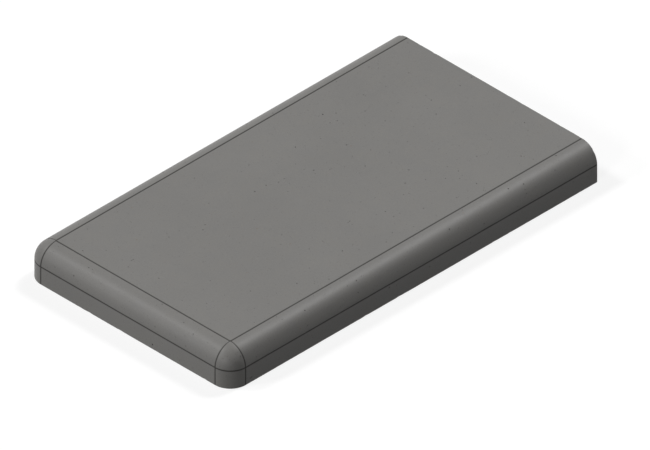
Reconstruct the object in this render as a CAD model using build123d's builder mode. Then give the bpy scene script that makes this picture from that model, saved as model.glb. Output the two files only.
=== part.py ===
"""Concrete coping stone: the closing slab of a run of wall coping, cast in one piece.

The upper arris of both long sides and of the closed end is a full quarter-round
nose, and each closed corner is an eighth of a ball over a quarter cylinder of the
same radius. The other end is cast square, to butt against the next stone. Under the
overhang a half-round drip follows the three exposed sides and runs out at the joint.

Frame: millimetres, origin at the middle of the bed face, +Z up, +X along the length
towards the joint end, so that the closed end faces -X.
"""

import os

from build123d import *

# Driving dimensions, in millimetres
length = 600.0  # over the closed nose to the joint face
width = 335.0  # over both long noses
thickness = 50.0  # bed face to top face
nose_radius = 25.0  # upper arris of the exposed sides, and the closed corners in plan
drip_radius = 6.0  # half-round drip, so 12 wide and 6 deep
drip_inset = 25.0  # exposed face to the drip's centre line
drip_corner_radius = 20.0  # bend of the drip's centre line at the closed corners

with BuildPart() as coping_stone:
    # The plain slab
    with BuildSketch(Plane.XY):
        Rectangle(length, width)
    extrude(amount=thickness)

    # The nose round the exposed sides, with the closed corners rounded in one go:
    # equal radii on the three edges of a corner make it a part of a ball
    top_edges = coping_stone.faces().sort_by(Axis.Z)[-1].edges()
    nose_edges = top_edges.sort_by(Axis.X)[:-1]
    upright_edges = coping_stone.edges().filter_by(Axis.Z)
    corner_edges = upright_edges.group_by(Axis.X)[0]
    fillet(nose_edges + corner_edges, radius=nose_radius)

    # The drip: out at the joint face, round the closed end and back
    joint_x = length / 2
    drip_x = -length / 2 + drip_inset
    drip_y = width / 2 - drip_inset
    with BuildLine(Plane.XY) as drip_line:
        FilletPolyline(
            (joint_x, -drip_y),
            (drip_x, -drip_y),
            (drip_x, drip_y),
            (joint_x, drip_y),
            radius=drip_corner_radius,
        )
    with BuildSketch(Plane(origin=drip_line.line @ 0, z_dir=drip_line.line % 0)):
        Circle(drip_radius)
    sweep(path=drip_line.line, mode=Mode.SUBTRACT)

coping_stone.part.label = "coping_stone"

os.makedirs("parts", exist_ok=True)
export_step(coping_stone.part, "parts/coping_stone.step")
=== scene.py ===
"""Looks of the concrete coping stone: its cast skin, with bug holes, worn arrises, mould
marks, a floated bed and a drip that runs out at the joint, under soft lamps on a plain
white floor.

Metres throughout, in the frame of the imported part: +Z up from the bed, +X along the
length towards the joint end, and the closed end facing -X.
"""

import math
from typing import NamedTuple

import bmesh
import bpy
import numpy as np
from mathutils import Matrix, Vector, geometry, noise


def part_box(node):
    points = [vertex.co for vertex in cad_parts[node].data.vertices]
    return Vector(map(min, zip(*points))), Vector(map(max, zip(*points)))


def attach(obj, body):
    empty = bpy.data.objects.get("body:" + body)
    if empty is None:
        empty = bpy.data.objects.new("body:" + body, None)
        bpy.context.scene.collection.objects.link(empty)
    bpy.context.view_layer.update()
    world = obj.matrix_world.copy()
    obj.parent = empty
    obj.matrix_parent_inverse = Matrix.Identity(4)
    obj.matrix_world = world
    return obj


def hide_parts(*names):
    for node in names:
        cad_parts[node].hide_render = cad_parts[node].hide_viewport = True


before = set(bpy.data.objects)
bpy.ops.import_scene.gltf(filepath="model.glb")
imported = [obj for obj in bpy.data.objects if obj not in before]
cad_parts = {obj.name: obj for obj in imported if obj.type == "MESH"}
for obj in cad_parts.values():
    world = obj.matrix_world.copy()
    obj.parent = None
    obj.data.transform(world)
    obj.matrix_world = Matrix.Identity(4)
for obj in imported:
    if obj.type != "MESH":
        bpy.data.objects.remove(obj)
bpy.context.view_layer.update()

MM = 0.001
STONE = "coping_stone"
UP = (0.0, 0.0, 1.0)
DOWN = (0.0, 0.0, -1.0)
TO_JOINT = (1.0, 0.0, 0.0)

# The stone's sizes: the overall ones from the frame, the others as cast
stone_low, stone_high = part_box(STONE)
HALF_LENGTH = (stone_high.x - stone_low.x) / 2
HALF_WIDTH = (stone_high.y - stone_low.y) / 2
THICKNESS = stone_high.z - stone_low.z
NOSE_RADIUS = 25 * MM
DRIP_RADIUS = 6 * MM
DRIP_INSET = 25 * MM
DRIP_CORNER_RADIUS = 20 * MM
CORE_INSET = DRIP_INSET + DRIP_CORNER_RADIUS  # where the bed's plain middle starts

# The mesh
CELL = 3 * MM  # side of a cell on the flat faces
NOSE_ROWS = 18
CORNER_COLUMNS = 16
DRIP_ROWS = 12
MARGIN_LINES = 6  # on the bed between the bottom arris and the drip
EDGE_STEPS = [0.0, 0.3 * MM, 0.7 * MM, 1.3 * MM, 2.4 * MM]  # rows beside an arris
LIP_STEPS = [0.0, 0.5 * MM, 1.2 * MM]  # rows beside the mouth of the drip
FACE_STEPS = [0.3 * MM, 0.7 * MM, 1.3 * MM]  # points inside the joint face's outline
FACE_CROWD = 0.2 * MM  # no two of those points are closer
FACE_CLEAR = 0.9  # nor is one nearer to the outline than this share of its step
FACE_MARGIN_Y = 28 * MM  # from the joint face's sides to its even cells
FACE_BOTTOM = 10 * MM
FACE_TOP = 4 * MM
FAR_IN = 1.0  # stands for any place well inside the joint face's outline
SAME_PLACE = 0.001 * MM  # points closer than this are one
TINY = 1e-9  # keeps a division away from zero
SHARP_ANGLE = 38  # degrees between two faces, past which their edge is shaded sharp

# The marks that the joints of the mould leave
MARK_HALF_WIDTH = 1.6 * MM
MARK_ANGLE = MARK_HALF_WIDTH / NOSE_RADIUS  # the same round a nose, in radians
MARK_DEPTH = 0.35 * MM
MARK_SHARE = 0.75  # the mean share of that depth
MARK_CHANGE = 0.5  # and how much it changes along a mark
MARK_RUN_OUT = 2 * MM  # a mark fades over this length towards a worn arris
MARK_LEFT = 0.3  # but this share of it is left at the arris itself

# Arrises worn round, and their chips
WEAR_REACH = 4 * MM  # how far from an arris its wear is worked out
ARRIS_RADIUS = 0.5 * MM
ARRIS_CHANGE = 0.25 * MM  # how much that radius changes along the arris
ARRIS_LEAST = 0.3 * MM
LIP_REACH = 2.5 * MM
LIP_RADIUS = 0.7 * MM
LIP_CHANGE = 0.7  # as a share of the radius
LIP_LEAST = 0.25 * MM
BOTTOM_CHIPS = 18
JOINT_CHIPS = 9
CHIP_HALF_LENGTH = (2.0 * MM, 4.5 * MM)
CHIP_DEPTH = (0.5 * MM, 0.9 * MM)
CHIP_ROUGH = 0.35 * MM
CHIP_FREE_END = 12 * MM  # of the bottom arris, beside the joint face

# Relief of the faces: the floated bed, and all of them a little uneven
BED_LIFT = 0.45 * MM  # the mean
BED_CHANGE = 0.5 * MM  # and how much it changes from place to place
BED_MOST = 1.2 * MM
BED_MARGIN = 3 * MM  # from the bottom arris to the bed's full relief
FACE_SINK = 0.04 * MM  # the mean, changed by a slow swell and a quicker ripple
SWELL = 0.08 * MM
RIPPLE = 0.02 * MM
RIPPLE_SHIFT = (3, 7, 1)  # takes the ripple from another part of the noise

# How often each of these changes, per metre
ARRIS_WAVES = 160
CHIP_WAVES = 700
LIP_WAVES = 240
BED_WAVES = (60, 110)  # along and across, as the float is drawn along the stone
BED_DETAIL = (1.0, 2.0, 4)  # fractal dimension, step from octave to octave, octaves
SWELL_WAVES = 9
RIPPLE_WAVES = 55
MARK_WAVES = 30

# The form of a bug hole
WIDE_HOLE = 1.2 * MM  # radius from which a hole takes two cells each way
MIDDLE_HOLE = 0.6 * MM
RIM_POINTS = (8, 10, 14)  # on the rim of a small, a middle and a wide hole
FINE_HOLE = 0.7 * MM  # radius from which a hole has the finer rings
# Rings from the rim down: share of the radius, share of the depth, darkness (dirt and painted
# shade, deepest at the bottom)
FINE_RINGS = [(1.0, 0.0, 0.0), (0.93, 0.42, 0.6), (0.78, 0.8, 0.9), (0.42, 0.97, 1.0)]
PLAIN_RINGS = [(1.0, 0.0, 0.0), (0.85, 0.6, 0.7), (0.5, 0.95, 1.0)]
HOLE_ROOM = 0.46  # how far a rim may reach, as a share of its block's side
RIM_SPREAD = 1.12  # how far an uneven rim may reach, as a share of its radius
RIM_WOBBLE = 0.07
HOLE_SQUASH = (0.68, 1.0)  # shorter over longer radius
HOLE_LEAN = 0.12  # how far the bottom may lie to a side, as a share of the radius
HOLE_DEPTH = (0.7, 1.5)  # as a share of the radius
SMALLER_MORE = 1.8  # past 1, the smaller holes are the commoner ones
LEAST_CELL = 1.6 * MM  # a cell with a shorter side stays whole


class Holes(NamedTuple):
    """The bug holes of a part: how many are tried, their radii, and how many are large."""

    count: int
    small: tuple
    large: tuple
    large_share: float


TOP_HOLES = Holes(340, (0.35 * MM, 0.85 * MM), (0.95 * MM, 1.2 * MM), 0.01)
SIDE_HOLES = Holes(230, (0.4 * MM, 0.85 * MM), (1.0 * MM, 1.3 * MM), 0.02)
BED_STRIP_HOLES = Holes(60, (0.4 * MM, 1.1 * MM), (1.2 * MM, 2.0 * MM), 0.1)
BED_CORE_HOLES = Holes(120, (0.4 * MM, 1.1 * MM), (1.2 * MM, 2.4 * MM), 0.1)
JOINT_FACE_HOLES = Holes(70, (0.4 * MM, 1.0 * MM), (1.2 * MM, 2.1 * MM), 0.08)

rng = np.random.default_rng(20)


# The stone as a set of grids that meet in the same places

class Skin:
    """Vertices of the undamaged surface with what the finish needs to know of each."""

    def __init__(self):
        self.at = []  # place on the undamaged surface
        self.normal = []
        self.sink = []  # how far below the surface
        self.pit = []  # 0 on the skin to 1 at the bottom of a hole; it darkens the colour there as dirt and painted shade
        self.mark = []  # 1 on a mould mark
        self.bed = []  # 1 on the floated bed
        self.inward = []  # on the joint face, the distance from its outline or FAR_IN
        self.faces = []

    def add(self, at, normal, sink=0.0, pit=0.0, mark=0.0, bed=0.0, inward=0.0):
        self.at.append(at)
        self.normal.append(normal)
        self.sink.append(sink)
        self.pit.append(pit)
        self.mark.append(mark)
        self.bed.append(bed)
        self.inward.append(inward)
        return len(self.at) - 1


class Column:
    """One line down the skin: where it stands on the nose's inner line and its facing."""

    def __init__(self, x, y, facing, mark=0.0):
        self.at = np.array((x, y))
        self.facing = np.array(facing, float)
        self.mark = mark


def spaced(start, stop, step, near_start=0.0, near_stop=0.0):
    """Even places from start to stop, with one more close to an end where asked."""
    places = list(np.linspace(start, stop, max(1, round(abs(stop - start) / step)) + 1))
    side = math.copysign(1, stop - start)
    if near_start:
        places.insert(1, start + side * near_start)
    if near_stop:
        places.insert(-1, stop - side * near_stop)
    return places


def long_side_places():
    """x along a long side, from the joint face to the closed corner."""
    near_joint = [HALF_LENGTH - e for e in EDGE_STEPS]
    core = -HALF_LENGTH + CORE_INSET
    corner = -HALF_LENGTH + NOSE_RADIUS
    main = spaced(near_joint[-1], core, CELL)
    last = spaced(core, corner, CELL, near_stop=MARK_HALF_WIDTH)
    return near_joint + main[1:] + last[1:]


def closed_end_places():
    """y along the closed end, from -Y to +Y."""
    core = HALF_WIDTH - CORE_INSET
    corner = HALF_WIDTH - NOSE_RADIUS
    first = spaced(-corner, -core, CELL, near_start=MARK_HALF_WIDTH)
    main = spaced(-core, core, CELL)
    last = spaced(core, corner, CELL, near_stop=MARK_HALF_WIDTH)
    return first + main[1:] + last[1:]


def corner_angles():
    """Angles round a closed corner, without its two ends but with one close to each."""
    inner = np.linspace(0, math.pi / 2, CORNER_COLUMNS + 1)[1:-1]
    return [MARK_ANGLE, *inner, math.pi / 2 - MARK_ANGLE]


def all_columns():
    """The columns from the joint face along -Y, round the closed end and back along +Y."""
    corner_x = -HALF_LENGTH + NOSE_RADIUS
    corner_y = HALF_WIDTH - NOSE_RADIUS
    x_places = long_side_places()
    y_places = closed_end_places()
    made = [Column(x, -corner_y, (0, -1)) for x in x_places[:-1]]
    made.append(Column(corner_x, -corner_y, (0, -1), mark=1.0))
    for angle in corner_angles():
        made.append(Column(corner_x, -corner_y, (-math.sin(angle), -math.cos(angle))))
    made.append(Column(corner_x, -corner_y, (-1, 0), mark=1.0))
    made += [Column(corner_x, y, (-1, 0)) for y in y_places[1:-1]]
    made.append(Column(corner_x, corner_y, (-1, 0), mark=1.0))
    for angle in corner_angles():
        made.append(Column(corner_x, corner_y, (-math.cos(angle), math.sin(angle))))
    made.append(Column(corner_x, corner_y, (0, 1), mark=1.0))
    made += [Column(x, corner_y, (0, 1)) for x in reversed(x_places[:-1])]
    return made


def side_rows():
    """(reach from the nose's inner line, height, outward part, upward part, mark) of each
    row, from the top tangent line down to the bottom arris."""
    rows = []
    spring = THICKNESS - NOSE_RADIUS
    even = np.linspace(math.pi / 2, 0, NOSE_ROWS + 1)
    angles = [even[0], even[0] - MARK_ANGLE, *even[1:-1], MARK_ANGLE, 0.0]
    for angle in angles:
        out, up = math.cos(angle), math.sin(angle)
        mark = float(angle in (angles[0], angles[-1]))
        rows.append((NOSE_RADIUS * out, spring + NOSE_RADIUS * up, out, up, mark))
    drop = [spring - MARK_HALF_WIDTH]
    drop += spaced(spring - CELL, EDGE_STEPS[-1], CELL)
    drop += EDGE_STEPS[-2:0:-1]
    for height in drop:
        rows.append((NOSE_RADIUS, height, 1.0, 0.0, 0.0))
    rows.append((NOSE_RADIUS, 0.0, 1.0, -1.0, 0.0))
    return rows


def add_sides(skin, columns):
    """The noses and drops, as rows by columns of vertex numbers."""
    numbers = []
    for reach, height, out, up, row_mark in side_rows():
        line = []
        for column in columns:
            place = column.at + column.facing * reach
            normal = (*(column.facing * out), up)
            mark = max(row_mark, column.mark)
            line.append(skin.add((*place, height), normal, mark=mark))
        numbers.append(line)
    return np.array(numbers)


def strip_end(column):
    """Where a column's strip of the bed ends: square to the side, or at the corner's core."""
    core_x = -HALF_LENGTH + CORE_INSET
    core_y = HALF_WIDTH - CORE_INSET
    x = max(column.at[0], core_x)
    y = min(max(column.at[1], -core_y), core_y)
    return np.array((x, y))


def strip_line(column):
    """(place, normal) of a column's points on the bed, from beside the bottom arris, over
    the drip, to the core."""
    outline = column.at + column.facing * NOSE_RADIUS
    end = strip_end(column)
    run = np.linalg.norm(outline - end)
    outward = (outline - end) / run
    outer_lip = DRIP_CORNER_RADIUS + DRIP_RADIUS
    inner_lip = DRIP_CORNER_RADIUS - DRIP_RADIUS
    outside = [run - e for e in EDGE_STEPS[1:-1]]
    outside += list(np.linspace(run - EDGE_STEPS[-1], outer_lip + LIP_STEPS[-1], MARGIN_LINES))
    outside += [outer_lip + s for s in LIP_STEPS[-2:0:-1]]
    inside = [inner_lip - s for s in LIP_STEPS[1:-1]]
    inside += spaced(inner_lip - LIP_STEPS[-1], 0.0, CELL)
    line = [((*(end + outward * reach), 0.0), DOWN) for reach in outside]
    for angle in np.linspace(0, math.pi, DRIP_ROWS + 1):
        across, up = math.cos(angle), math.sin(angle)
        place = end + outward * (DRIP_CORNER_RADIUS + DRIP_RADIUS * across)
        within_drip = 0 < angle < math.pi
        normal = (*(-outward * across), -up if within_drip else -1.0)
        line.append(((*place, DRIP_RADIUS * up), normal))
    return line + [((*(end + outward * reach), 0.0), DOWN) for reach in inside]


def add_bed_strip(skin, columns):
    """The bed round the drip, as rows by columns."""
    lines = [strip_line(column) for column in columns]
    numbers = [[skin.add(*point, bed=1.0) for point in row] for row in zip(*lines)]
    return np.array(numbers)


def add_plane(skin, x_places, y_places, height, normal, marked=False, bed=0.0):
    """A flat grid of the top or the bed, with mould marks on three sides where asked."""
    numbers = []
    for x in x_places:
        line = []
        for y in y_places:
            mark = float(marked and (x == x_places[-1] or y in (y_places[0], y_places[-1])))
            line.append(skin.add((x, y, height), normal, mark=mark, bed=bed))
        numbers.append(line)
    return np.array(numbers)


def write_cells(skin, numbers, taken=None):
    """The faces of a grid's cells, apart from the cells that holes have taken."""
    for i in range(numbers.shape[0] - 1):
        for j in range(numbers.shape[1] - 1):
            if taken is not None and taken[i, j]:
                continue
            corners = (numbers[i, j], numbers[i + 1, j], numbers[i + 1, j + 1], numbers[i, j + 1])
            skin.faces.append(tuple(int(c) for c in corners))


# Bug holes: blocks of cells are given up to a crisp-rimmed hollow

class Block:
    """A square block of cells as a small sheet, to set points on it by cell coordinates."""

    def __init__(self, skin, numbers, row, col, span):
        self.numbers = numbers[row:row + span + 1, col:col + span + 1]
        self.at = np.array([[skin.at[n] for n in line] for line in self.numbers])
        self.normal = np.array([[skin.normal[n] for n in line] for line in self.numbers])
        self.span = span
        self.half = span / 2
        middle = self.point(self.half, self.half)
        self.row_size = np.linalg.norm(self.point(self.half + 0.5, self.half) - middle) * 2
        self.col_size = np.linalg.norm(self.point(self.half, self.half + 0.5) - middle) * 2

    def blend(self, values, u, v):
        i = min(int(u), self.span - 1)
        j = min(int(v), self.span - 1)
        s, t = u - i, v - j
        near = values[i, j] * (1 - t) + values[i, j + 1] * t
        far = values[i + 1, j] * (1 - t) + values[i + 1, j + 1] * t
        return near * (1 - s) + far * s

    def point(self, u, v):
        return self.blend(self.at, u, v)

    def facing(self, u, v):
        return self.blend(self.normal, u, v)

    def border(self):
        """(vertex number, u, v) of the points on the block's border, in one turn."""
        around = [(0, j) for j in range(self.span)]
        around += [(i, self.span) for i in range(self.span)]
        around += [(self.span, j) for j in range(self.span, 0, -1)]
        around += [(i, 0) for i in range(self.span, 0, -1)]
        return [(int(self.numbers[i, j]), i, j) for i, j in around]


def triangles_between(loops, loose=()):
    """Triangles, as places in the joined list of flat points, that fill a closed loop and
    keep the edges of the loops in it. The loose points are used as well."""
    inside_only, tolerance = 1, 1e-7
    edges = []
    start = 0
    for loop in loops:
        edges += [(start + k, start + (k + 1) % len(loop)) for k in range(len(loop))]
        start += len(loop)
    points = [Vector(place) for loop in (*loops, loose) for place in loop]
    made = geometry.delaunay_2d_cdt(points, edges, [], inside_only, tolerance)
    given = [found[0] for found in made[3]]
    return [[given[k] for k in face] for face in made[2]]


def join_rim(skin, block, rim, places):
    """Triangles from the block's border to a hole's rim, whose points go once round. A
    triangle of rim points alone that goes round the same way lies within the rim."""
    border = block.border()
    outer = [(i * block.row_size, j * block.col_size) for _, i, j in border]
    inner = [(u * block.row_size, v * block.col_size) for u, v in places]
    numbers = [number for number, _, _ in border] + rim
    for face in triangles_between([outer, inner]):
        first = face.index(min(face))
        face = face[first:] + face[:first]
        within_rim = face[0] >= len(border) and face[1] < face[2]
        if not within_rim:
            skin.faces.append(tuple(numbers[k] for k in face))


def rim_points(radius):
    small, middle, wide = RIM_POINTS
    if radius > WIDE_HOLE:
        return wide
    return middle if radius > MIDDLE_HOLE else small


def dig(skin, block, radius, depth, bed, inward):
    """One hole near the middle of a block: a rim, a steep wall and a rounded bottom."""
    room = HOLE_ROOM * block.span * min(block.row_size, block.col_size)
    radius = min(radius, room / RIM_SPREAD)
    slack = room - RIM_SPREAD * radius
    middle_u = block.half + rng.uniform(-slack, slack) / block.row_size
    middle_v = block.half + rng.uniform(-slack, slack) / block.col_size
    points = rim_points(radius)
    turn = rng.uniform(0, 2 * math.pi)
    squash = rng.uniform(*HOLE_SQUASH)
    wobble = rng.normal(0, RIM_WOBBLE, points)
    lean = rng.uniform(-HOLE_LEAN, HOLE_LEAN, 2)

    def add_point(u, v, sunk, dark):
        place, normal = tuple(block.point(u, v)), tuple(block.facing(u, v))
        return skin.add(place, normal, sink=depth * sunk, pit=dark, bed=bed, inward=inward)

    places = []
    loops = []
    rings = FINE_RINGS if radius > FINE_HOLE else PLAIN_RINGS
    for share, sunk, dark in rings:
        ring = []
        for k in range(points):
            angle = 2 * math.pi * k / points
            reach = radius * share * (1 + wobble[k])
            a, b = reach * math.cos(angle), reach * squash * math.sin(angle)
            along = a * math.cos(turn) - b * math.sin(turn) + lean[0] * radius * sunk
            across = a * math.sin(turn) + b * math.cos(turn) + lean[1] * radius * sunk
            ring.append((middle_u + along / block.row_size, middle_v + across / block.col_size))
        places.append(ring)
        loops.append([add_point(u, v, sunk, dark) for u, v in ring])

    join_rim(skin, block, loops[0], places[0])
    for upper, lower in zip(loops, loops[1:]):
        for k in range(points):
            after = (k + 1) % points
            skin.faces.append((upper[k], upper[after], lower[after], lower[k]))
    middle = add_point(middle_u, middle_v, sunk=1.0, dark=1.0)
    bottom = loops[-1]
    for k in range(points):
        skin.faces.append((bottom[k], bottom[(k + 1) % points], middle))


def cells_free(skin, numbers, taken, row, col, span):
    """Whether a block lies on plain, even cells that no other hole has taken."""
    if row + span >= numbers.shape[0] or col + span >= numbers.shape[1]:
        return False
    if taken[row:row + span, col:col + span].any():
        return False
    places = numbers[row:row + span + 1, col:col + span + 1]
    if any(skin.mark[n] > 0 for n in places.ravel()):
        return False
    at = np.array([[skin.at[n] for n in line] for line in places])
    row_sizes = np.linalg.norm(np.diff(at, axis=0), axis=2)
    col_sizes = np.linalg.norm(np.diff(at, axis=1), axis=2)
    return min(row_sizes.min(), col_sizes.min()) > LEAST_CELL


def dig_holes(skin, numbers, holes, bed=0.0, inward=0.0):
    """Spreads bug holes over a grid and writes what is left of its cells."""
    taken = np.zeros((numbers.shape[0] - 1, numbers.shape[1] - 1), bool)
    least, most = holes.small
    for _ in range(holes.count):
        if rng.random() < holes.large_share:
            radius = rng.uniform(*holes.large)
        else:
            radius = least + (most - least) * rng.random() ** SMALLER_MORE
        span = 1 if radius < WIDE_HOLE else 2
        row = int(rng.integers(0, taken.shape[0]))
        col = int(rng.integers(0, taken.shape[1]))
        depth = radius * rng.uniform(*HOLE_DEPTH)
        if not cells_free(skin, numbers, taken, row, col, span):
            continue
        taken[row:row + span, col:col + span] = True
        dig(skin, Block(skin, numbers, row, col, span), radius, depth, bed, inward)
    write_cells(skin, numbers, taken)


# The joint face, filled inside the outline that the other grids leave

def section_normal(normal):
    """The part of a normal in the joint face, kept at full length on a square corner."""
    return np.array((0.0, normal[1], normal[2]))


def distance_to(place, line):
    """How far a place is from a closed line in the joint face."""
    runs = np.roll(line, -1, axis=0) - line
    along = np.sum((place - line) * runs, axis=1) / np.sum(runs * runs, axis=1)
    nearest = line + runs * np.clip(along, 0, 1)[:, None]
    return np.linalg.norm(nearest - place, axis=1).min()


def add_inside_points(skin, outline):
    """Points a little inside the outline, for the worn arris, left out where they would
    crowd each other or another stretch of the outline."""
    line = np.array([skin.at[n][1:] for n in outline])
    numbers, places = [], np.empty((0, 2))
    for step in FACE_STEPS:
        for start in outline:
            outward = section_normal(skin.normal[start])
            place = np.array(skin.at[start]) - outward * step
            crowded = np.any(np.linalg.norm(places - place[1:], axis=1) < FACE_CROWD)
            if crowded or distance_to(place[1:], line) < FACE_CLEAR * step:
                continue
            places = np.vstack([places, place[1:]])
            numbers.append(skin.add(tuple(place), tuple(outward), inward=step))
    return numbers


def add_joint_face(skin, sides, strip, core, top):
    """The face's even cells as a grid, and triangles from them to its outline."""
    outline = [*sides[:, 0], *strip[:, 0], *core[0, 1:-1]]
    outline += [*strip[::-1, -1], *sides[::-1, -1], *top[0, -2:0:-1]]
    outline = [int(n) for n in outline]
    inside = add_inside_points(skin, outline)
    reach = HALF_WIDTH - FACE_MARGIN_Y
    numbers = []
    for y in spaced(-reach, reach, CELL):
        z_places = spaced(FACE_BOTTOM, THICKNESS - FACE_TOP, CELL)
        numbers.append([skin.add((HALF_LENGTH, y, z), TO_JOINT, inward=FAR_IN) for z in z_places])
    grid = np.array(numbers)
    border = [*grid[:-1, 0], *grid[-1, :-1], *grid[:0:-1, -1], *grid[0, :0:-1]]
    flat = [*outline, *(int(n) for n in border), *inside]
    places = [skin.at[n][1:] for n in flat]
    ends = np.cumsum((len(outline), len(border)))
    loops = [places[:ends[0]], places[ends[0]:ends[1]]]
    for face in triangles_between(loops, loose=places[ends[1]:]):
        y, z = np.mean([places[k] for k in face], axis=0)
        on_cells = abs(y) < reach and FACE_BOTTOM < z < THICKNESS - FACE_TOP
        if not on_cells:
            skin.faces.append(tuple(flat[k] for k in face))
    return grid


# Wear: arrises rounded and chipped, faces gently uneven, all of it inward

def noise_at(places, waves, shift=(0, 0, 0)):
    """Smooth noise from -1 to 1, with so many waves a metre."""
    offset = Vector(shift)
    return np.array([noise.noise(Vector(place) * waves + offset) for place in places])


def plan_reach(at, inset):
    """How far each place is beyond the line that runs at an inset inside the outline, whose
    closed corners are centred on that line's corners, and the way out in plan."""
    beyond_x = -at[:, 0] - (HALF_LENGTH - inset)
    beyond_y = np.abs(at[:, 1]) - (HALF_WIDTH - inset)
    at_corner = (beyond_x > 0) & (beyond_y > 0)
    at_end = beyond_x > beyond_y
    reach = np.where(at_corner, np.hypot(beyond_x, beyond_y), np.maximum(beyond_x, beyond_y))
    safe = np.maximum(reach, TINY)
    out_x = np.where(at_corner, -beyond_x / safe, np.where(at_end, -1.0, 0.0))
    out_y = np.where(at_corner, beyond_y / safe, np.where(at_end, 0.0, 1.0))
    return reach, np.stack([out_x, out_y * np.sign(at[:, 1])], 1)


def rounded(first, second, radius):
    """New distances from the two faces of an arris once it is worn to a radius."""
    a, b = first - radius, second - radius
    length = np.hypot(a, b)
    worn = (a < 0) & (b < 0) & (length > radius)
    scale = np.where(worn, radius / np.maximum(length, TINY), 1.0)
    return radius + a * scale, radius + b * scale


def spalled(first, second, size):
    """New distances from the two faces of an arris where a chip has come off."""
    short = np.maximum(size - first - second, 0.0) / 2
    return first + short, second + short


def choose_chips(places, count):
    """(centre, half length, depth) of chips spread by chance over the places of an arris."""
    chips = []
    for _ in range(count):
        centre = places[int(rng.integers(0, len(places)))]
        chips.append((centre, rng.uniform(*CHIP_HALF_LENGTH), rng.uniform(*CHIP_DEPTH)))
    return chips


def chip_sizes(at, chips):
    """How deep the chips reach at each place."""
    size = np.zeros(len(at))
    for centre, half_length, depth in chips:
        away = np.linalg.norm(at - centre, axis=1) / half_length
        size = np.maximum(size, depth * np.sqrt(np.clip(1 - away ** 2, 0, 1)))
    return size


def wear_arris(first, second, at, chips):
    """Both distances after rounding and chipping."""
    radius = ARRIS_RADIUS + ARRIS_CHANGE * noise_at(at, ARRIS_WAVES)
    a, b = rounded(first, second, np.maximum(radius, ARRIS_LEAST))
    size = chip_sizes(at, chips)
    rough = CHIP_ROUGH * noise_at(at, CHIP_WAVES)
    return spalled(a, b, np.where(size > 0, size + rough, 0.0))


def wear_bottom_arris(at, clean):
    reach, outward = plan_reach(clean, NOSE_RADIUS)
    inset = NOSE_RADIUS - reach
    height = clean[:, 2]
    near = (height < WEAR_REACH) & (inset < WEAR_REACH)
    on_arris = (height == 0) & (inset < SAME_PLACE)
    off_joint = clean[:, 0] < HALF_LENGTH - CHIP_FREE_END
    chips = choose_chips(clean[on_arris & off_joint], BOTTOM_CHIPS)
    a, b = wear_arris(inset[near], height[near], clean[near], chips)
    at[near, :2] += outward[near] * (inset[near] - a)[:, None]
    at[near, 2] = b


def wear_drip_mouth(at, clean):
    reach, outward = plan_reach(clean, CORE_INSET)
    offset = reach - DRIP_CORNER_RADIUS
    height = clean[:, 2]
    from_wall = np.hypot(offset, height) - DRIP_RADIUS
    near = (np.abs(from_wall) < LIP_REACH) & (height < LIP_REACH)
    wall = np.maximum(from_wall[near], 0.0)
    radius = LIP_RADIUS * (1 + LIP_CHANGE * noise_at(clean[near], LIP_WAVES))
    a, b = rounded(wall, height[near], np.maximum(radius, LIP_LEAST))
    away = np.sign(offset[near]) * (a - wall)
    at[near, :2] += outward[near] * away[:, None]
    at[near, 2] = b


def wear_joint_arris(at, clean, normal, inward):
    """Wears the arris round the joint face. Where another arris meets it, each coordinate
    takes the larger of the two wears."""
    along = HALF_LENGTH - clean[:, 0]
    near = (along < WEAR_REACH) & (inward < WEAR_REACH)
    on_arris = (along == 0) & (inward == 0)
    above_drip = clean[:, 2] > DRIP_RADIUS
    chips = choose_chips(clean[on_arris & above_drip], JOINT_CHIPS)
    a, b = wear_arris(inward[near], along[near], clean[near], chips)
    shift = -normal[near] * (a - inward[near])[:, None]
    before = at[near] - clean[near]
    at[near] = clean[near] + np.where(np.abs(shift) > np.abs(before), shift, before)
    at[near, 0] = HALF_LENGTH - b


def float_bed(at, clean):
    """Lifts what is low down, and leaves the outline and the drip's top where they are."""
    waves_x, waves_y = BED_WAVES
    drawn = [Vector((x * waves_x, y * waves_y, 0)) for x, y, _ in clean]
    floated = np.array([noise.fractal(place, *BED_DETAIL) for place in drawn])
    inset = NOSE_RADIUS - plan_reach(clean, NOSE_RADIUS)[0]
    low_down = np.clip(1 - clean[:, 2] / DRIP_RADIUS, 0, 1) * np.clip(inset / BED_MARGIN, 0, 1)
    at[:, 2] += low_down * np.clip(BED_LIFT + BED_CHANGE * floated, 0, BED_MOST)


def unevenness(clean):
    """How far the faces lie below their true planes."""
    swell = noise_at(clean, SWELL_WAVES)
    ripple = noise_at(clean, RIPPLE_WAVES, RIPPLE_SHIFT)
    return FACE_SINK + SWELL * swell + RIPPLE * ripple


def mark_depths(clean, mark):
    """How deep the mould marks are at each place."""
    share = MARK_SHARE + MARK_CHANGE * noise_at(clean, MARK_WAVES)
    from_arris = np.minimum(HALF_LENGTH - clean[:, 0], clean[:, 2])
    share *= np.clip(MARK_LEFT + from_arris / MARK_RUN_OUT, 0, 1)
    return mark * MARK_DEPTH * share


def wear(skin):
    """The finished places of all vertices."""
    clean = np.array(skin.at, float)
    normal = np.array(skin.normal, float)
    inward = np.array(skin.inward, float)
    at = clean.copy()
    wear_bottom_arris(at, clean)
    wear_drip_mouth(at, clean)
    wear_joint_arris(at, clean, normal, inward)
    float_bed(at, clean)
    unit = normal / np.linalg.norm(normal, axis=1)[:, None]
    unit[inward > 0] = TO_JOINT
    groove = unit.copy()  # without what would press a mark upward at the bottom arris
    groove[:, 2] = np.maximum(groove[:, 2], 0)
    at -= unit * (np.array(skin.sink) + unevenness(clean))[:, None]
    at -= groove * mark_depths(clean, np.array(skin.mark))[:, None]
    low = np.array((-HALF_LENGTH, -HALF_WIDTH, 0.0))
    high = np.array((HALF_LENGTH, HALF_WIDTH, THICKNESS))
    return np.clip(at, low, high)


# The stone

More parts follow.
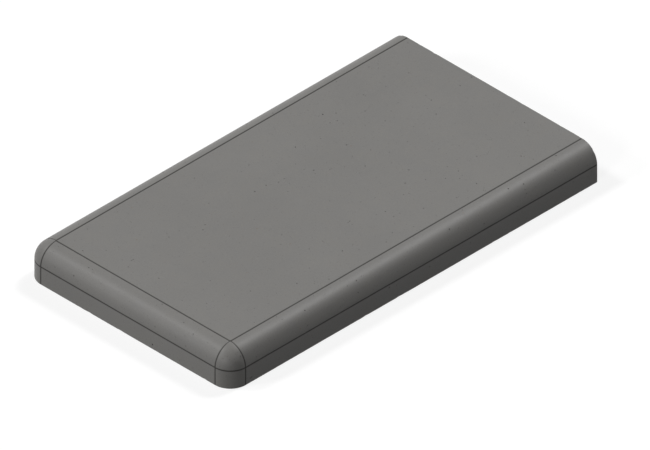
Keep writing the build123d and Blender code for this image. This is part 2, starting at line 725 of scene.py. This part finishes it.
def lay_skin():
    """All the grids, with their holes dug and their cells written."""
    skin = Skin()
    columns = all_columns()
    sides = add_sides(skin, columns)
    strip = add_bed_strip(skin, columns)
    x_places = long_side_places()
    y_places = closed_end_places()
    core_x = [x for x in x_places if x > -HALF_LENGTH + CORE_INSET - SAME_PLACE]
    core_y = [y for y in y_places if abs(y) < HALF_WIDTH - CORE_INSET + SAME_PLACE]
    top = add_plane(skin, x_places, y_places, THICKNESS, UP, marked=True)
    core = add_plane(skin, core_x, core_y, 0.0, DOWN, bed=1.0)
    face = add_joint_face(skin, sides, strip, core, top)
    write_cells(skin, np.vstack([sides[-1:], strip[:1]]))
    dig_holes(skin, top, TOP_HOLES)
    dig_holes(skin, sides, SIDE_HOLES)
    dig_holes(skin, strip, BED_STRIP_HOLES, bed=1.0)
    dig_holes(skin, core, BED_CORE_HOLES, bed=1.0)
    dig_holes(skin, face, JOINT_FACE_HOLES, inward=FAR_IN)
    return skin


def weld(skin):
    """Numbers of the vertices to keep, with those in the same place made one, and for each
    vertex its place among the kept ones."""
    keys = {}
    kept = []
    number_of = []
    for number, place in enumerate(skin.at):
        if skin.sink[number] > 0:
            number_of.append(len(kept))
            kept.append(number)
            continue
        key = tuple(round(value / SAME_PLACE) for value in place)
        if key not in keys:
            keys[key] = len(kept)
            kept.append(number)
        number_of.append(keys[key])
    return kept, number_of


def welded_faces(skin, number_of):
    """The faces by their kept vertices, without those that the weld has closed up."""
    loops = [list(dict.fromkeys(number_of[n] for n in face)) for face in skin.faces]
    return [loop for loop in loops if len(loop) > 2]


def build_stone():
    skin = lay_skin()
    places = wear(skin)
    kept, number_of = weld(skin)
    mesh = bpy.data.meshes.new("stone")
    mesh.from_pydata([tuple(places[n]) for n in kept], [], welded_faces(skin, number_of))
    for name, values in (("pit", skin.pit), ("mark", skin.mark), ("bed", skin.bed)):
        layer = mesh.attributes.new(name, "FLOAT", "POINT")
        layer.data.foreach_set("value", [values[n] for n in kept])
    made = bmesh.new()
    made.from_mesh(mesh)
    bmesh.ops.recalc_face_normals(made, faces=made.faces)
    loose = [v for v in made.verts if not v.link_faces]
    bmesh.ops.delete(made, geom=loose, context="VERTS")
    made.to_mesh(mesh)
    made.free()
    mesh.shade_smooth()
    mesh.set_sharp_from_angle(angle=math.radians(SHARP_ANGLE))
    stone = bpy.data.objects.new("stone_skin", mesh)
    bpy.context.scene.collection.objects.link(stone)
    return stone


# Materials

class Nodes:
    """Short calls for a node tree."""

    def __init__(self, tree):
        self.tree = tree
        tree.nodes.clear()

    def add(self, kind, **settings):
        node = self.tree.nodes.new(kind)
        inputs = settings.pop("inputs", {})
        for name, value in settings.items():
            setattr(node, name, value)
        for name, value in inputs.items():
            self.set(node.inputs[name], value)
        return node

    def set(self, socket, value):
        if isinstance(value, bpy.types.NodeSocket):
            self.tree.links.new(value, socket)
        else:
            socket.default_value = value

    def math(self, operation, *values, clamp=False):
        node = self.add("ShaderNodeMath", operation=operation, use_clamp=clamp)
        for socket, value in zip(node.inputs, values):
            self.set(socket, value)
        return node.outputs[0]

    def vector_math(self, operation, **inputs):
        node = self.add("ShaderNodeVectorMath", operation=operation, inputs=inputs)
        return node.outputs[0]

    def ramp(self, value, low, high, to_low=0.0, to_high=1.0):
        span = {"From Min": low, "From Max": high, "To Min": to_low, "To Max": to_high}
        node = self.add("ShaderNodeMapRange", clamp=True, inputs={"Value": value, **span})
        return node.outputs["Result"]

    def noise(self, place, scale, detail, roughness):
        form = {"Scale": scale, "Detail": detail, "Roughness": roughness}
        node = self.add("ShaderNodeTexNoise", inputs={"Vector": place, **form})
        return node.outputs["Fac"]

    def specks(self, place, per_metre, size, share):
        """1 in round specks, one at most in a cell: their size as a share of the cell, and
        the share of the cells that have one."""
        node = self.add("ShaderNodeTexVoronoi", inputs={"Vector": place, "Scale": per_metre})
        spot = self.ramp(node.outputs["Distance"], size * 0.5, size, 1.0, 0.0)
        parts = self.add("ShaderNodeSeparateColor")
        self.set(parts.inputs[0], node.outputs["Color"])
        chosen = self.math("LESS_THAN", parts.outputs[0], share)
        return self.math("MULTIPLY", spot, chosen)

    def attribute(self, name):
        return self.add("ShaderNodeAttribute", attribute_name=name).outputs["Fac"]

    def mix(self, factor, a, b):
        node = self.add("ShaderNodeMix", data_type="RGBA")
        self.set(node.inputs["Factor"], factor)
        self.set(node.inputs[6], a)
        self.set(node.inputs[7], b)
        return node.outputs[2]


# Colours of the concrete
PASTE = (0.161, 0.158, 0.152, 1)
LAITANCE = (0.166, 0.162, 0.154, 1)  # the warmer, paler skin of the cement
DARK_SAND = (0.085, 0.082, 0.078, 1)
PALE_SAND = (0.215, 0.212, 0.205, 1)
RUST = (0.150, 0.105, 0.070, 1)
DIRT_AND_PAINTED_SHADE = (0.018, 0.017, 0.015, 1)  # dirt in the mould marks; in the holes, dirt and painted shade

# Its patterns, by their repeats per metre
CLOUDS = 8
BLOTCHES = 45
GRAIN = 650
DUST = 2600
DARK_SPECKS = 240
PALE_SPECKS = 300
RUST_SPECKS = 42
SAND_SIZE = 0.22  # as a share of the specks' spacing
SAND_SHARE = 0.4  # of the places where a speck could be
RUST_SIZE = 0.06
RUST_SHARE = 0.3
PALE_SHIFT = (0.5, 0.3, 0.7)  # keeps the pale and rusty specks off the dark ones' cells

# How much each of them shows
CLOUD_SHADE = 0.03  # lighter or darker, as a share
GRAIN_SHADE = 0.04
DUST_SHADE = 0.12
DARK_COVER = 0.36
PALE_COVER = 0.34
RUST_COVER = 0.45
# how far the holes are darkened, most at their bottoms: dirt and painted shade
PIT_DIRT_AND_PAINTED_SHADE = 0.22
MARK_DIRT = 0.86

# Its surface
GLOSS = 0.27
ROUGHNESS = (0.46, 0.50)
BED_ROUGHER = 0.25
MARK_ROUGHER = 0.4
PIT_ROUGHER = 0.3
BUMP_HEIGHT = 0.04 * MM
BUMP_STRENGTH = 0.5


def concrete_shade(n, place):
    """The factor by which clouds, grain and dust darken or lighten the paste."""
    cloud = n.noise(place, CLOUDS, detail=3, roughness=0.55)
    grain = n.noise(place, GRAIN, detail=2, roughness=0.6)
    dust = n.noise(place, DUST, detail=2, roughness=0.6)
    clouded = n.ramp(cloud, 0.3, 0.7, 1 - CLOUD_SHADE, 1 + CLOUD_SHADE)
    grained = n.ramp(grain, 0.25, 0.75, -GRAIN_SHADE, GRAIN_SHADE)
    dusted = n.ramp(dust, 0.25, 0.75, -DUST_SHADE, DUST_SHADE)
    return n.math("ADD", clouded, n.math("ADD", grained, dusted))


def concrete_colour(n, place, pit, mark):
    """Clouded paste with grains of sand, a rare rust speck, dirt in the mould marks, and dirt with
    painted shade in the holes.
    """
    blotch = n.noise(place, BLOTCHES, detail=4, roughness=0.6)
    colour = n.mix(n.ramp(blotch, 0.35, 0.65), PASTE, LAITANCE)
    colour = n.vector_math("SCALE", Vector=colour, Scale=concrete_shade(n, place))
    shifted = n.add("ShaderNodeVectorMath", operation="ADD")
    n.set(shifted.inputs[0], place)
    n.set(shifted.inputs[1], PALE_SHIFT)
    aside = shifted.outputs[0]
    dark = n.specks(place, DARK_SPECKS, SAND_SIZE, SAND_SHARE)
    pale = n.specks(aside, PALE_SPECKS, SAND_SIZE, SAND_SHARE)
    rust = n.specks(aside, RUST_SPECKS, RUST_SIZE, RUST_SHARE)
    colour = n.mix(n.math("MULTIPLY", dark, DARK_COVER), colour, DARK_SAND)
    colour = n.mix(n.math("MULTIPLY", pale, PALE_COVER), colour, PALE_SAND)
    colour = n.mix(n.math("MULTIPLY", rust, RUST_COVER), colour, RUST)
    # dirt and painted shade in the holes, darker towards their bottoms
    colour = n.mix(n.math("MULTIPLY", pit, PIT_DIRT_AND_PAINTED_SHADE), colour, DIRT_AND_PAINTED_SHADE)
    return n.mix(n.ramp(mark, 0.1, 0.7, 0.0, MARK_DIRT), colour, DIRT_AND_PAINTED_SHADE)


def concrete_roughness(n, place, pit, mark, bed):
    """Cast skin, rougher where it is floated, dirty or dug."""
    blotch = n.noise(place, BLOTCHES, detail=4, roughness=0.6)
    rough = n.ramp(blotch, 0.3, 0.7, *ROUGHNESS)
    rough = n.math("ADD", rough, n.math("MULTIPLY", bed, BED_ROUGHER))
    rough = n.math("ADD", rough, n.math("MULTIPLY", mark, MARK_ROUGHER))
    return n.math("ADD", rough, n.math("MULTIPLY", pit, PIT_ROUGHER), clamp=True)


def concrete():
    material = bpy.data.materials.new("cast_concrete")
    material.use_nodes = True
    n = Nodes(material.node_tree)
    place = n.add("ShaderNodeTexCoord").outputs["Object"]
    pit, mark, bed = n.attribute("pit"), n.attribute("mark"), n.attribute("bed")
    bump = n.add("ShaderNodeBump", inputs={"Strength": BUMP_STRENGTH, "Distance": BUMP_HEIGHT})
    n.set(bump.inputs["Height"], n.noise(place, GRAIN, detail=4, roughness=0.65))
    surface = n.add("ShaderNodeBsdfPrincipled", inputs={"Specular IOR Level": GLOSS})
    n.set(surface.inputs["Base Color"], concrete_colour(n, place, pit, mark))
    n.set(surface.inputs["Roughness"], concrete_roughness(n, place, pit, mark, bed))
    n.set(surface.inputs["Normal"], bump.outputs["Normal"])
    out = n.add("ShaderNodeOutputMaterial")
    n.set(out.inputs["Surface"], surface.outputs[0])
    return material


# The floor and the sky

FLOOR_SIZE = 30.0
FLOOR_DROP = 0.1 * MM  # below the bed, so that the two never lie in one plane
FLOOR_COLOUR = (0.28, 0.28, 0.28, 1)
FLOOR_GLOW = 0.75
FLOOR_BOUNCE = (0.05, 0.05, 0.05, 1)
PAINTED_SHADE_FADE = 5 * MM  # how far in under the stone the floor's glow fades out, as painted shade
SKY = 0.05
WHITE = (1, 1, 1, 1)


def seen_rays(n):
    """1 for rays from the camera, a gloss or a glass, 0 for the light that they carry."""
    path = n.add("ShaderNodeLightPath")
    total = n.math("ADD", path.outputs["Is Camera Ray"], path.outputs["Is Glossy Ray"], clamp=True)
    return n.math("ADD", total, path.outputs["Is Transmission Ray"], clamp=True)


def floor_glow_with_painted_shade(n):
    """1 on the open floor, falling to 0 under the stone as painted shade on the glow, where no
    light gets in: by the distance from the stone's outline, whose corners are round at the closed
    end only."""
    place = n.add("ShaderNodeTexCoord").outputs["Object"]
    parts = n.add("ShaderNodeSeparateXYZ")
    n.set(parts.inputs[0], place)
    radius = n.math("MULTIPLY", n.math("LESS_THAN", parts.outputs["X"], 0.0), NOSE_RADIUS)
    past = []
    for axis, half in (("X", HALF_LENGTH), ("Y", HALF_WIDTH)):
        beyond = n.math("SUBTRACT", n.math("ABSOLUTE", parts.outputs[axis]), half)
        past.append(n.math("ADD", beyond, radius))
    outside = [n.math("POWER", n.math("MAXIMUM", p, 0.0), 2.0) for p in past]
    away = n.math("SQRT", n.math("ADD", *outside))
    away = n.math("ADD", away, n.math("MINIMUM", n.math("MAXIMUM", *past), 0.0))
    return n.ramp(n.math("SUBTRACT", away, radius), -PAINTED_SHADE_FADE, 0.0)


def white_floor():
    """A floor that is white to the eye but keeps the shadow and throws up little light."""
    material = bpy.data.materials.new("white_floor")
    material.use_nodes = True
    n = Nodes(material.node_tree)
    seen = n.add("ShaderNodeAddShader")
    matt = n.add("ShaderNodeBsdfDiffuse", inputs={"Color": FLOOR_COLOUR})
    glow = n.add("ShaderNodeEmission")
    # the glow is cut to painted shade under the stone
    n.set(glow.inputs["Strength"], n.math("MULTIPLY", floor_glow_with_painted_shade(n), FLOOR_GLOW))
    n.set(seen.inputs[0], matt.outputs[0])
    n.set(seen.inputs[1], glow.outputs[0])
    dim = n.add("ShaderNodeBsdfDiffuse", inputs={"Color": FLOOR_BOUNCE})
    mix = n.add("ShaderNodeMixShader")
    n.set(mix.inputs[0], seen_rays(n))
    n.set(mix.inputs[1], dim.outputs[0])
    n.set(mix.inputs[2], seen.outputs[0])
    out = n.add("ShaderNodeOutputMaterial")
    n.set(out.inputs["Surface"], mix.outputs[0])
    material.cycles.emission_sampling = "NONE"
    return material


def build_floor():
    half = FLOOR_SIZE / 2
    mesh = bpy.data.meshes.new("floor")
    corners = [(-half, -half, 0), (half, -half, 0), (half, half, 0), (-half, half, 0)]
    mesh.from_pydata(corners, [], [(0, 1, 2, 3)])
    floor = bpy.data.objects.new("floor", mesh)
    bpy.context.scene.collection.objects.link(floor)
    floor.location.z = -FLOOR_DROP
    mesh.materials.append(white_floor())


def build_world():
    """A sky that is white to the eye and throws little light."""
    world = bpy.data.worlds.new("studio")
    bpy.context.scene.world = world
    world.use_nodes = True
    n = Nodes(world.node_tree)
    sky = n.add("ShaderNodeBackground", inputs={"Color": WHITE})
    n.set(sky.inputs["Strength"], n.ramp(seen_rays(n), 0.0, 1.0, SKY, 1.0))
    out = n.add("ShaderNodeOutputWorld")
    n.set(out.inputs["Surface"], sky.outputs[0])
    world.cycles.sampling_method = "NONE"


# The lamps

class Lamp(NamedTuple):
    """The light on a face square to the lamp, and where the lamp stands, in degrees: its
    azimuth, which is 0 at -Y and 90 at +X as the camera's, and its elevation."""

    level: float
    azimuth: float
    elevation: float


LAMPS = [
    Lamp(0.446, 85, 48),  # high beyond the joint end
    Lamp(0.387, -145, 50),  # high beyond the far closed corner
    Lamp(0.305, -117, 29),  # lower, beyond the closed end and a little to the back
    Lamp(0.246, -75, 22),  # lowest, beyond the closed end and a little to the front
    Lamp(0.107, 97, 51),  # beside the first one, to soften it
]
LAMP_SPREAD = 12  # degrees across


def direction(azimuth, elevation):
    a, e = math.radians(azimuth), math.radians(elevation)
    return Vector((math.sin(a) * math.cos(e), -math.cos(a) * math.cos(e), math.sin(e)))


def build_lamps():
    for number, lamp in enumerate(LAMPS):
        name = f"lamp_{number}"
        light = bpy.data.lights.new(name, "SUN")
        light.energy = lamp.level * math.pi
        light.angle = math.radians(LAMP_SPREAD)
        made = bpy.data.objects.new(name, light)
        made.rotation_mode = "QUATERNION"
        way = direction(lamp.azimuth, lamp.elevation)
        made.rotation_quaternion = way.to_track_quat("Z", "Y")
        bpy.context.scene.collection.objects.link(made)


# The camera: a true isometric view, without perspective
IMAGE_WIDTH, IMAGE_HEIGHT = 650, 450
CORNER_X, CORNER_Y = 230.3, 394.15  # image place of the near corner of the stone's box
PIXELS_PER_METRE = 865.4
VIEW_AZIMUTH = -45
VIEW_ELEVATION = math.degrees(math.asin(1 / math.sqrt(3)))
CAMERA_DISTANCE = 2.0
CAMERA_RANGE = 20


def build_camera():
    camera_data = bpy.data.cameras.new("camera")
    camera = bpy.data.objects.new("camera", camera_data)
    bpy.context.scene.collection.objects.link(camera)
    camera_data.type = "ORTHO"
    camera_data.ortho_scale = IMAGE_WIDTH / PIXELS_PER_METRE
    camera_data.clip_end = CAMERA_RANGE
    back = direction(VIEW_AZIMUTH, VIEW_ELEVATION)
    turn = back.to_track_quat("Z", "Y")
    right, up = turn @ Vector((1, 0, 0)), turn @ Vector((0, 1, 0))
    across = (IMAGE_WIDTH / 2 - CORNER_X) / PIXELS_PER_METRE
    above = (CORNER_Y - IMAGE_HEIGHT / 2) / PIXELS_PER_METRE
    corner = Vector((-HALF_LENGTH, -HALF_WIDTH, 0))
    camera.location = corner + right * across + up * above + back * CAMERA_DISTANCE
    camera.rotation_mode = "QUATERNION"
    camera.rotation_quaternion = turn
    bpy.context.scene.camera = camera


stone = build_stone()
stone.data.materials.append(concrete())
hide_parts(STONE)
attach(stone, "root")
build_floor()
build_world()
build_lamps()
build_camera()
bpy.context.scene.view_settings.view_transform = "Standard"
